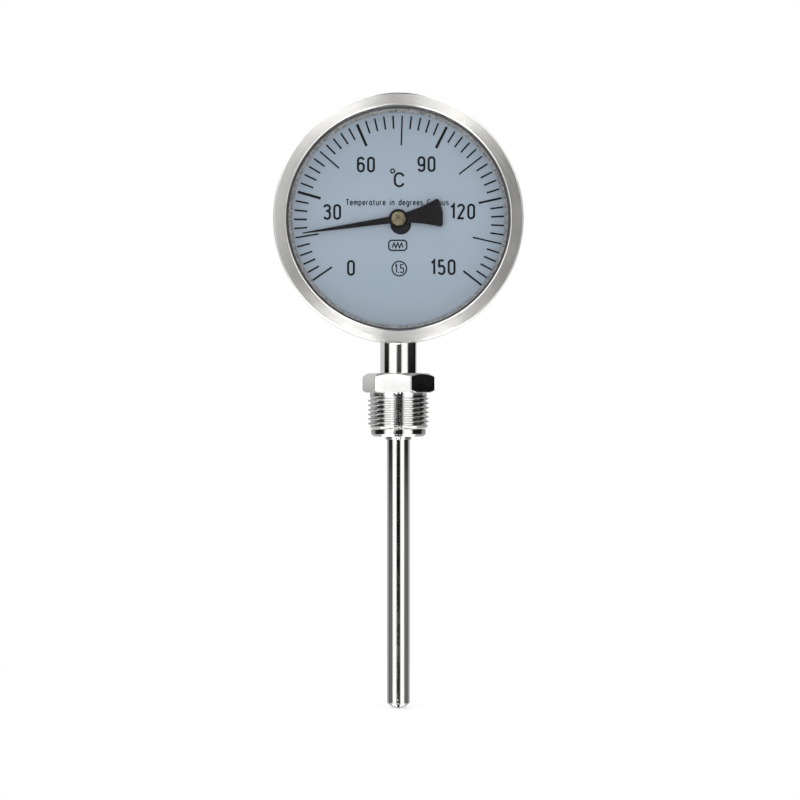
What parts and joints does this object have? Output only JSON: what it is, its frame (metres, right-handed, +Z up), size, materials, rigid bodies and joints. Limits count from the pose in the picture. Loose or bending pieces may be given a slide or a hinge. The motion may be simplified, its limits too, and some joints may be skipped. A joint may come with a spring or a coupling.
{
  "type": "dial thermometer",
  "caption": "Round dial thermometer with a bottom stem, bimetal movement and a sliding, swivelling union nut with external thread.",
  "frame": {"origin": "on the stem's axis, in the plane of the collar's underside, where the thermometer seats in its fitting", "axes": "+Z up along the stem towards the head, -Y the way the dial faces, +X to the right as seen from the front"},
  "size_m": [0.108, 0.039, 0.2681],
  "materials": {
    "bezel_steel": "satin turned",
    "case_steel": "satin",
    "bright_steel": "polished",
    "inner_steel": "plain",
    "bimetal": "rolled strip",
    "brass": "turned",
    "dial_face": "satin paint",
    "ring_grey": "stippled",
    "pointer_black": "matt paint",
    "gasket": "moulded",
    "window": "clear"
  },
  "bodies": {
    "root": {"bezel_ring": "bezel_steel", "window_glass": "window", "window_gasket": "gasket", "spacer_ring": "ring_grey", "dial_plate": "dial_face", "case_shell": "case_steel", "movement_frame": "inner_steel", "frame_screw_left": "inner_steel", "frame_screw_right": "inner_steel", "spindle_front_bush": "brass", "spindle_rear_bush": "brass", "neck_head": "case_steel", "neck_tube": "bright_steel", "shaft_upper_bush": "brass", "shaft_lower_bush": "brass", "bimetal_coil": "bimetal", "coil_anchor": "brass", "collar": "bright_steel", "stem_tube": "bright_steel", "stem_tip": "bright_steel"},
    "pointer_spindle": {"spindle": "inner_steel", "spindle_clip": "inner_steel", "spindle_gear": "brass", "pointer": "pointer_black", "pointer_hub": "brass"},
    "bimetal_shaft": {"stem_shaft": "inner_steel", "shaft_gear": "brass", "coil_top_hub": "brass"},
    "nut_slip_ring": {"slip_ring": "brass"},
    "union_nut": {"union_nut": "bright_steel"}
  },
  "joints": [
    {"name": "shaft_twist", "type": "hinge", "parent": "root", "child": "bimetal_shaft", "pos_m": [0, 0, 0], "axis": [0, 0, 1], "range_deg": [-231.5, 31], "stiffness_Nm_per_rad": 0.0005, "deforming": ["bimetal_coil"]},
    {"name": "pointer_sweep", "type": "hinge", "parent": "root", "child": "pointer_spindle", "pos_m": [0, 0, 0.0946], "axis": [0, 1, 0], "range_deg": [-31, 231.5]},
    {"name": "nut_slide", "type": "slide", "parent": "root", "child": "nut_slip_ring", "axis": [0, 0, 1], "range_m": [0, 0.0125]},
    {"name": "nut_spin", "type": "hinge", "parent": "nut_slip_ring", "child": "union_nut", "pos_m": [0, 0, 0.0036], "axis": [0, 0, 1], "continuous": true}
  ],
  "couplings": [
    {"joint": "pointer_sweep", "follows": "shaft_twist", "ratio": -1}
  ]
}
